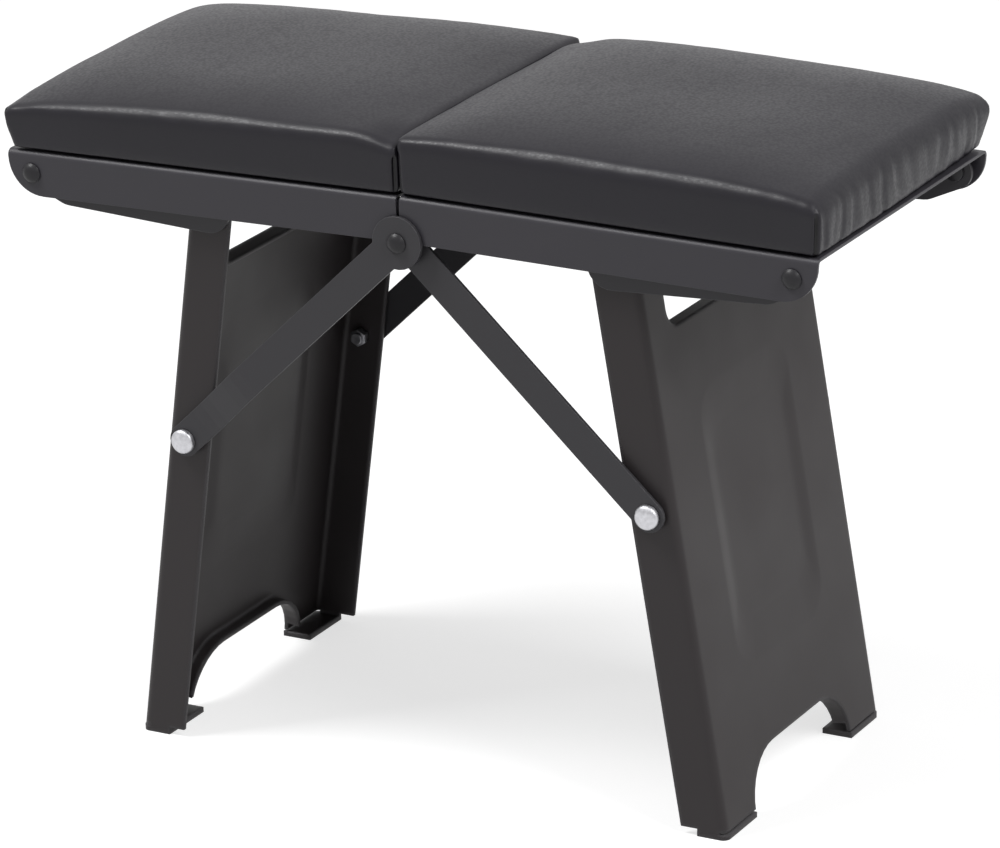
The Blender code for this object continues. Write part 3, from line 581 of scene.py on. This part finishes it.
@dataclass
class Cushion:
    """A foam block in a vinyl cover: swollen by simulation, then seamed, puckered and drawn down."""

    side: Side
    material: bpy.types.Material
    settling: Settling
    gathers: Gathers = Gathers()
    grid: float = 2.6
    edge_share: float = 0.5
    inner_end: float = -0.05
    inner_lean: float = 0.4
    lean_from: float = 0.9
    outer_end: float = 177.4
    half_width: float = 75.6
    base: float = 20.6
    skirt: float = 1.7
    board_inner_end: float = 5.2
    board_outer_end: float = 170.4
    board_half_width: float = 70.4
    board_clear: float = 0.3
    side_height: float = 20.5
    end_droop: float = 2.5
    crown: float = 7.0
    crown_power: int = 4
    draw_in: float = 1.2
    end_tuck: float = 1.0
    far_tuck: float = 3.8
    side_tuck: float = 0.7
    corner_radius: float = 2.6
    inner_corner_radius: float = 2.3
    fold_radius: float = 4.0
    inner_radius: float = 2.4
    end_radius: float = 6.5
    foot_radius: float = 1.2
    level: float = 0.1
    held_height: float = 0.8
    pressure: float = 4.0
    cloth_quality: int = 6
    cloth_mass: float = 0.3
    cloth_bending: float = 0.6
    frames: int = 20
    most_swell: float = 0.9
    evening: int = 30
    peak_deg: float = 0.75
    seam_width: float = 0.75
    seam_depth: float = 1.3
    seam_start: float = 2.0
    seam_fade: tuple[float, float] = (0.72, 0.88)
    outer_drop: float = 1.2
    sagging_drop: float = 3.4
    crisp_drop: float = 0.4
    drop_band: tuple[float, float] = (0.5, 1.0)
    corner_reach: float = 11.0
    top_wave: float = 0.55
    top_wave_length: float = 46.0
    top_facing: tuple[float, float] = (0.6, 0.95)
    pucker: float = 0.3
    pucker_length: float = 9.0
    pucker_stretch: tuple[float, float, float] = (1.0, 0.5, 0.5)
    pucker_facing: float = 0.6
    pucker_spread: float = 0.35
    noise_shift: float = 7.3

    @property
    def node(self) -> str:
        """Names the CAD cushion that this one stands for."""
        return self.side.word + "_cushion"

    def corner(self, out_x: float) -> float:
        """Gives the radius of an upright corner, by the end that it is on."""
        return self.corner_radius if out_x > 0.0 else self.inner_corner_radius

    def to_seat(self) -> np.ndarray:
        """Gives the transform from the stool's frame to this seat half's own, in millimetres."""
        pivot = next(joint for joint in frame["joints"] if joint["name"] == "seat_fold")["pos_m"]
        turn = Matrix.Rotation(math.pi if self.side is Side.LEFT else 0.0, 4, "Z")
        level = Matrix.Rotation(-math.radians(self.peak_deg), 4, "Y")
        return np.array(Matrix.Scale(1.0 / MM, 4) @ level @ turn @ Matrix.Translation(-Vector(pivot)))

    def points(self, mesh: bpy.types.Mesh) -> np.ndarray:
        """Reads a mesh's points."""
        flat = np.zeros(len(mesh.vertices) * 3)
        mesh.vertices.foreach_get("co", flat)
        return flat.reshape(-1, 3)

    def put(self, mesh: bpy.types.Mesh, points: np.ndarray) -> None:
        """Writes a mesh's points."""
        mesh.vertices.foreach_set("co", points.reshape(-1))
        mesh.update()

    def rounded(self, spots: np.ndarray, axes: tuple[int, int], signs: tuple[float, float],
                edges: tuple[float, float], radius: float) -> None:
        """Rounds one edge of the block in place.

        Args:
            spots: The block's points.
            axes: The two axes across the edge.
            signs: The side of each axis that the edge is on.
            edges: How far out the edge lies on each axis.
            radius: The edge's radius.
        """
        out = [spots[:, axis] * sign - (edge - radius) for axis, sign, edge in zip(axes, signs, edges)]
        near = (out[0] > 0.0) & (out[1] > 0.0)
        shrink = np.maximum(out[0], out[1])[near] / np.hypot(out[0], out[1])[near]
        for axis, sign, edge, share in zip(axes, signs, edges, out):
            spots[near, axis] = sign * (edge - radius + share[near] * shrink)

    def block(self) -> bpy.types.Object:
        """Makes the starting block in even small faces: folded edges, a crown, sides that pull in."""
        half = np.array([(self.outer_end - self.inner_end) / 2.0, self.half_width, self.side_height / 2.0])
        middle = np.array([(self.outer_end + self.inner_end) / 2.0, 0.0, self.base + self.side_height / 2.0])
        work = bmesh.new()
        bmesh.ops.create_cube(work, size=2.0)
        for axis in range(3):
            split = [edge for edge in work.edges
                     if abs((edge.verts[0].co - edge.verts[1].co)[axis]) > 1.0]
            bmesh.ops.subdivide_edges(work, edges=split, cuts=int(half[axis] * 2.0 / self.grid),
                                      use_grid_fill=True)
        mesh = bpy.data.meshes.new(self.node + "_cover")
        work.to_mesh(mesh)
        work.free()
        spots = self.points(mesh)
        # The grid is closer towards the edges, where the folds and seams are
        spots += self.edge_share * np.sin(math.pi * spots) / math.pi
        spots *= half
        under = spots[:, 2] < -half[2] + self.level
        for x in (-1.0, 1.0):
            for y in (-1.0, 1.0):
                self.rounded(spots, (0, 1), (x, y), (half[0], half[1]), self.corner(x))
        for sign in (-1.0, 1.0):
            self.rounded(spots, (1, 2), (sign, 1.0), (half[1], half[2]), self.fold_radius)
            self.rounded(spots, (0, 2), (sign, 1.0), (half[0], half[2]),
                         self.end_radius if sign > 0.0 else self.inner_radius)
            self.rounded(spots, (1, 2), (sign, -1.0), (half[1], half[2]), self.foot_radius)
            self.rounded(spots, (0, 2), (sign, -1.0), (half[0], half[2]), self.foot_radius)
        across, along = spots[:, 0] / half[0], spots[:, 1] / half[1]
        lift = (spots[:, 2] / half[2] + 1.0) / 2.0
        bow = (1.0 - across ** self.crown_power) * (1.0 - along ** self.crown_power)
        spots[:, 2] += self.crown * bow * lift ** self.crown_power
        spots[:, 2] -= self.end_droop * ((across + 1.0) / 2.0) ** 3 * lift
        self.settle(spots, across, along, lift)
        # One end of the outer side is drawn further under than the other
        tuck = self.end_tuck + self.far_tuck * ((along + 1.0) / 2.0) ** 2
        pull = self.draw_in * (1.0 - along ** 2) * lift + tuck * (1.0 - lift) ** 2
        spots[:, 0] -= np.maximum(across, 0.0) * pull
        pull = self.draw_in * (1.0 - across ** 2) * lift + self.side_tuck * (1.0 - lift) ** 2
        spots[:, 1] -= along * pull
        # The two cushions lean together over the fold, so that they nearly meet along its top
        spots[:, 0] -= self.inner_lean * lift * eased(self.lean_from, 1.0, -across)
        spots += middle
        self.wrap_under(spots, under)
        back = np.linalg.inv(self.to_seat())
        self.put(mesh, spots @ back[:3, :3].T + back[:3, 3])
        return linked(self.node + "_cover", mesh)

    def settle(self, spots: np.ndarray, across: np.ndarray, along: np.ndarray, lift: np.ndarray) -> None:
        """Raises or lowers the top towards each corner, bows two edges up and draws one corner in.

        Args:
            spots: The block's points, moved in place.
            across: Each point's place, from -1 at the fold to 1 at the outer end.
            along: Its place along the fold, from -1 at the near end to 1 at the far end.
            lift: Its share of the height.
        """
        out, far = (across + 1.0) / 2.0, (along + 1.0) / 2.0
        inner = self.settling.inner_near * (1.0 - far) + self.settling.inner_far * far
        outer = self.settling.outer_near * (1.0 - far) + self.settling.outer_far * far
        spots[:, 2] += (inner * (1.0 - out) + outer * out) * lift
        spots[:, 2] += self.settling.end_rise * out ** 3 * (1.0 - along ** 2) * lift
        spots[:, 2] += self.settling.far_rise * far ** 3 * (1.0 - across ** 2) * lift
        spots[:, 0] -= self.settling.near_inset * out * (1.0 - far)

    def wrap_under(self, spots: np.ndarray, under: np.ndarray) -> None:
        """Lowers the rim of the underside past the board's edge, and lays the rest on the board.

        Args:
            spots: The block's points, moved in place.
            under: Which of them are on the underside.
        """
        step = self.grid * (1.0 - self.edge_share)
        low_x, high_x = self.board_inner_end - self.board_clear, self.board_outer_end + self.board_clear
        high_y = self.board_half_width + self.board_clear
        inside = (spots[:, 0] > low_x) & (spots[:, 0] < high_x) & (np.abs(spots[:, 1]) < high_y)
        rim = spots[:, 2] < self.base + self.foot_radius
        spots[rim & ~(under & inside), 2] -= self.skirt
        near = under & inside & (spots[:, 0] < low_x + step)
        spots[near, 0] = low_x
        near = under & inside & (spots[:, 0] > high_x - step)
        spots[near, 0] = high_x
        near = under & inside & (np.abs(spots[:, 1]) > high_y - step)
        spots[near, 1] = np.sign(spots[near, 1]) * high_y

    def apply_modifiers(self, piece: bpy.types.Object) -> None:
        """Replaces an object's mesh by what its modifiers make of it."""
        bpy.context.view_layer.update()
        seen = piece.evaluated_get(bpy.context.evaluated_depsgraph_get())
        made = bpy.data.meshes.new_from_object(seen)
        piece.modifiers.clear()
        piece.data = made

    def swell(self, block: bpy.types.Object) -> None:
        """Presses the cover out from inside, its underside held, and limits how far a point goes."""
        before = self.points(block.data)
        seat = self.to_seat()
        height = (before @ seat[:3, :3].T + seat[:3, 3])[:, 2]
        held = block.vertex_groups.new(name="held")
        fixed = np.flatnonzero(height < self.base + self.held_height)
        held.add([int(place) for place in fixed], 1.0, "REPLACE")
        cloth = block.modifiers.new("swell", "CLOTH")
        cloth.settings.quality = self.cloth_quality
        cloth.settings.mass = self.cloth_mass
        cloth.settings.bending_stiffness = self.cloth_bending
        cloth.settings.use_pressure = True
        cloth.settings.uniform_pressure_force = self.pressure
        cloth.settings.effector_weights.gravity = 0.0
        cloth.settings.vertex_group_mass = "held"
        cloth.point_cache.frame_start = 1
        cloth.point_cache.frame_end = self.frames
        for number in range(1, self.frames + 1):
            bpy.context.scene.frame_set(number)
        self.apply_modifiers(block)
        bpy.context.scene.frame_set(1)
        move = self.points(block.data) - before
        reach = np.linalg.norm(move, axis=1, keepdims=True)
        log.info("%s swells by %.1f mm before its limit", self.node, reach.max() / MM)
        move *= np.minimum(1.0, self.most_swell * MM / np.maximum(reach, 1e-9))
        self.put(block.data, before + self.evened(block.data, move))

    def evened(self, mesh: bpy.types.Mesh, move: np.ndarray) -> np.ndarray:
        """Spreads each point's move over its neighbours, so that the foam under the cover shows.

        Args:
            mesh: The cover.
            move: The move of each point.

        Returns:
            The evened moves.
        """
        ends = np.zeros(len(mesh.edges) * 2, dtype=np.int64)
        mesh.edges.foreach_get("vertices", ends)
        first, second = ends.reshape(-1, 2).T
        count = np.bincount(ends, minlength=len(move))[:, None]
        for _ in range(self.evening):
            total = np.zeros_like(move)
            np.add.at(total, first, move[second])
            np.add.at(total, second, move[first])
            move = 0.5 * move + 0.5 * total / count
        return move

    def smooth_noise(self, spots: np.ndarray, size: float) -> np.ndarray:
        """Gives one smooth noise value from -1 to 1 for each point.

        Args:
            spots: Points in millimetres.
            size: The noise's feature size in millimetres.

        Returns:
            The values.
        """
        shift = Vector((self.noise_shift * self.side.value, 0.0, 0.0))
        return np.array([noise.noise(Vector(spot) / size + shift) for spot in spots])

    def draw_corners(self, spots: np.ndarray, share: np.ndarray) -> np.ndarray:
        """Draws the cover in along its corner seams, and drops the top at each corner.

        Args:
            spots: The cover's points, moved in place.
            share: Each point's share of the side's height.

        Returns:
            How near each point is to a seam, from 0 to 1: the mask of the painted shade along the seams.
        """
        low, high = spots.min(0), spots.max(0)
        seam = np.zeros(len(spots))
        for edge_x, out_x in ((low[0], -1.0), (high[0], 1.0)):
            for edge_y, out_y in ((low[1], -1.0), (high[1], 1.0)):
                corner_x = edge_x - (self.settling.near_inset if out_x > 0.0 > out_y else 0.0)
                a = (spots[:, 0] - corner_x) * out_x + self.corner(out_x)
                b = (spots[:, 1] - edge_y) * out_y + self.corner(out_x)
                across, outward = (a - b) / math.sqrt(2.0), (a + b) / math.sqrt(2.0)
                near = np.exp(-(across / self.seam_width) ** 2) * eased(0.0, self.seam_start, outward)
                near *= 1.0 - eased(*self.seam_fade, share)
                seam = np.maximum(seam, near)
                gap = np.hypot(spots[:, 0] - corner_x, spots[:, 1] - edge_y)
                inner_drop = self.sagging_drop if out_y > 0.0 else self.crisp_drop
                drop = self.outer_drop if out_x > 0.0 else inner_drop
                close = np.exp(-(gap / self.corner_reach) ** 2)
                spots[:, 2] -= drop * close * eased(*self.drop_band, share)
                groove = self.seam_depth * near
                spots[:, 0] -= groove * out_x / math.sqrt(2.0)
                spots[:, 1] -= groove * out_y / math.sqrt(2.0)
        return seam

    def gathered(self, spots: np.ndarray, facing: np.ndarray, share: np.ndarray) -> np.ndarray:
        """Gives how far each point of the outer end stands out in the gathers.

        Args:
            spots: The cover's points.
            facing: Their normals.
            share: Each point's share of the side's height.

        Returns:
            The distances.
        """
        form = self.gathers
        wander = self.smooth_noise(spots * np.array(form.wander_stretch), form.wander_length)
        place = math.pi * (spots[:, 1] + form.wander * wander + form.lean * spots[:, 2])
        wave = np.abs(np.sin(place / form.spacing)) ** form.sharpness
        fine = np.sin(place / (form.fine_spacing_share * form.spacing) + form.fine_shift)
        wave += form.fine_share * np.abs(fine)
        patches = spots * np.array(form.strength_stretch) + form.strength_shift
        strength = form.strength + form.strength_swing * self.smooth_noise(patches, form.strength_length)
        end = eased(*form.facing, facing[:, 0]) * (1.0 - eased(*form.fade, share)) * eased(*form.foot, share)
        return form.depth * end * strength * (wave - form.level)

    def sew(self, cover: bpy.types.Object) -> None:
        """Draws in the corners, gathers the outer end, waves the top and puckers the folds."""
        seat = self.to_seat()
        spots = self.points(cover.data) @ seat[:3, :3].T + seat[:3, 3]
        flat = np.zeros(len(cover.data.vertices) * 3)
        cover.data.vertices.foreach_get("normal", flat)
        facing = flat.reshape(-1, 3) @ (seat[:3, :3].T * MM)
        share = (spots[:, 2] - spots[:, 2].min()) / self.side_height
        seam = self.draw_corners(spots, share)
        pleats = self.gathered(spots, facing, share)
        wave = self.top_wave * self.smooth_noise(spots, self.top_wave_length)
        top = eased(*self.top_facing, facing[:, 2]) * wave
        fold = np.exp(-((facing[:, 2] - self.pucker_facing) / self.pucker_spread) ** 2) * self.pucker
        fold = fold * self.smooth_noise(spots * np.array(self.pucker_stretch), self.pucker_length)
        spots += facing * (pleats + top + fold)[:, None]
        back = np.linalg.inv(seat)
        self.put(cover.data, spots @ back[:3, :3].T + back[:3, 3])
        # The seam mask carries the painted shade along the seams into the cover's material
        cover.data.attributes.new("seam", "FLOAT", "POINT").data.foreach_set("value", seam)

    def build(self) -> bpy.types.Object:
        """Makes the cushion and lets it take its node's place."""
        cover = self.block()
        self.swell(cover)
        fine = cover.modifiers.new("fine", "SUBSURF")
        fine.levels = 1
        fine.render_levels = 1
        self.apply_modifiers(cover)
        self.sew(cover)
        cover.data.name = self.node + "_cover"
        cover.data.materials.append(self.material)
        cover.data.shade_smooth()
        cover.vertex_groups.clear()
        stand_for(cover, self.node)
        return cover


@dataclass(frozen=True)
class Lamp:
    """A square soft lamp that faces the stool, its places and size in metres."""

    name: str
    place: tuple[float, float, float]
    size: float
    watts: float
    aim: tuple[float, float, float] = (0.0, 0.0, 0.15)

    def build(self) -> None:
        """Adds the lamp to the scene."""
        data = bpy.data.lights.new(self.name, "AREA")
        data.size = self.size
        data.energy = self.watts
        made = linked(self.name, data)
        made.location = self.place
        line = Vector(self.aim) - Vector(self.place)
        made.rotation_euler = line.to_track_quat("-Z", "Y").to_euler()


@dataclass
class Studio:
    """The plain pale floor, the soft light and the camera."""

    azimuth_deg: float = 29.256
    elevation_deg: float = 19.717
    roll_deg: float = -1.753
    distance: float = 2186.73
    aim: tuple[float, float, float] = (-1.625, 1.857, 126.610)
    lens: float = 199.446
    sensor: float = 36.0
    clip_end: float = 100.0
    floor_half: float = 6000.0
    floor_colour: str = "#c6c6c6"
    floor_roughness: float = 0.9
    floor_glow: float = 0.68
    ambient: float = 0.18
    mirrored: float = 0.8
    white: tuple[float, float, float, float] = (1.0, 1.0, 1.0, 1.0)
    lamps: tuple[Lamp, ...] = (Lamp("key", (1.3, -0.3, 1.45), 0.8, 18.5),
                               Lamp("top", (-0.9, -0.65, 1.75), 0.7, 22.5))

    def camera(self) -> None:
        """Places the camera at the photograph's view."""
        turn = math.radians(self.azimuth_deg)
        rise = math.radians(self.elevation_deg)
        roll = math.radians(self.roll_deg)
        back = Vector((math.sin(turn) * math.cos(rise), -math.cos(turn) * math.cos(rise), math.sin(rise)))
        right = Vector((math.cos(turn), math.sin(turn), 0.0))
        up = back.cross(right)
        basis = Matrix((right, up, back)).transposed() @ Matrix.Rotation(roll, 3, "Z")
        data = bpy.data.cameras.new("view")
        data.sensor_fit = "HORIZONTAL"
        data.sensor_width = self.sensor
        data.lens = self.lens
        data.clip_end = self.clip_end
        seen = linked("view", data)
        place = (Vector(self.aim) + back * self.distance) * MM
        seen.matrix_world = Matrix.Translation(place) @ basis.to_4x4()
        bpy.context.scene.camera = seen

    def shown_white(self, tree: bpy.types.NodeTree) -> bpy.types.NodeSocket:
        """Adds a mask that is one for what the camera sees straight or through glass, and less mirrored."""
        path = add_node(tree, "ShaderNodeLightPath").outputs
        glossy = add_node(tree, "ShaderNodeMath", {1: self.mirrored}, {0: path["Is Glossy Ray"]},
                          operation="MULTIPLY")
        straight = add_node(tree, "ShaderNodeMath", None, {0: path["Is Camera Ray"], 1: glossy.outputs[0]},
                            operation="MAXIMUM")
        seen = add_node(tree, "ShaderNodeMath", None,
                        {0: straight.outputs[0], 1: path["Is Transmission Ray"]}, operation="MAXIMUM")
        return seen.outputs[0]

    def world(self) -> None:
        """Lights evenly from all round and shows white."""
        made = bpy.data.worlds.new("studio")
        made.use_nodes = True
        tree = made.node_tree
        shade = tree.nodes["Background"]
        shade.inputs["Color"].default_value = self.white
        level = add_node(tree, "ShaderNodeMapRange", {"To Min": self.ambient, "To Max": 1.0},
                         {"Value": self.shown_white(tree)})
        tree.links.new(level.outputs["Result"], shade.inputs["Strength"])
        bpy.context.scene.world = made

    def floor(self) -> None:
        """Lays a pale floor that keeps the stool's shadow."""
        work = bmesh.new()
        bmesh.ops.create_grid(work, x_segments=1, y_segments=1, size=self.floor_half * MM)
        mesh = bpy.data.meshes.new("floor")
        work.to_mesh(mesh)
        work.free()
        made, tree, shader = new_material("pale_floor")
        shader.inputs["Base Color"].default_value = linear(self.floor_colour)
        shader.inputs["Roughness"].default_value = self.floor_roughness
        glow = add_node(tree, "ShaderNodeMapRange", {"To Min": 0.0, "To Max": self.floor_glow},
                        {"Value": self.shown_white(tree)})
        shader.inputs["Emission Color"].default_value = self.white
        tree.links.new(glow.outputs["Result"], shader.inputs["Emission Strength"])
        mesh.materials.append(made)
        linked("floor", mesh)

    def build(self) -> None:
        """Sets up the whole studio."""
        self.camera()
        self.world()
        self.floor()
        for lamp in self.lamps:
            lamp.build()
        bpy.context.scene.view_settings.view_transform = "Standard"


def main() -> None:
    """Dresses the stool piece by piece and sets up its view."""
    logging.basicConfig(level=logging.INFO, format="%(message)s")
    finishes = Finishes()
    SheetSteel(finishes).dress()
    for node in sorted(frame["nodes"]):
        kind = next((kind for kind in Pin if node.endswith(kind.value)), None)
        if kind:
            Fastener(node, kind, finishes.for_node(node)).build()
    for side, settling in SETTLED.items():
        Cushion(side, finishes.cover, settling).build()
    Studio().build()


if __name__ == "__main__":
    main()
